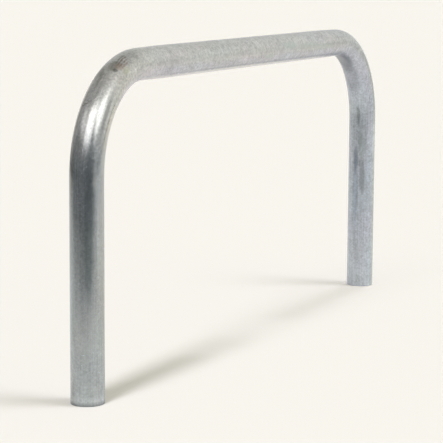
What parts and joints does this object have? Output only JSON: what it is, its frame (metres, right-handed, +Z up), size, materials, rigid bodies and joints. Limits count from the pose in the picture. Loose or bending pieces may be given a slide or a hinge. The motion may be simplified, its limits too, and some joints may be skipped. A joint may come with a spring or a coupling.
{
  "type": "hoop barrier",
  "caption": "Galvanised steel tube hoop with straight legs, wide swept corners and a level top rail, for keeping vehicles off paths, doors and planting.",
  "frame": {"origin": "on the floor, midway between the feet, in the plane of the hoop", "axes": "+X along the rail from the left leg to the right leg, +Y square to the plane of the hoop, +Z up"},
  "size_m": [2, 0.0896, 0.9],
  "materials": {
    "zinc_dull": "hot-dip galvanised, weathered to a dull mottled grey",
    "zinc_bright": "hot-dip galvanised, still partly bright",
    "weld_zinc": "butt weld dressed flush and hot-dip galvanised"
  },
  "bodies": {
    "root": {"left_leg": "zinc_dull", "left_bend": "zinc_bright", "top_rail": "zinc_dull", "right_bend": "zinc_bright", "right_leg": "zinc_dull", "left_leg_weld": "weld_zinc", "left_rail_weld": "weld_zinc", "right_rail_weld": "weld_zinc", "right_leg_weld": "weld_zinc"}
  },
  "joints": []
}
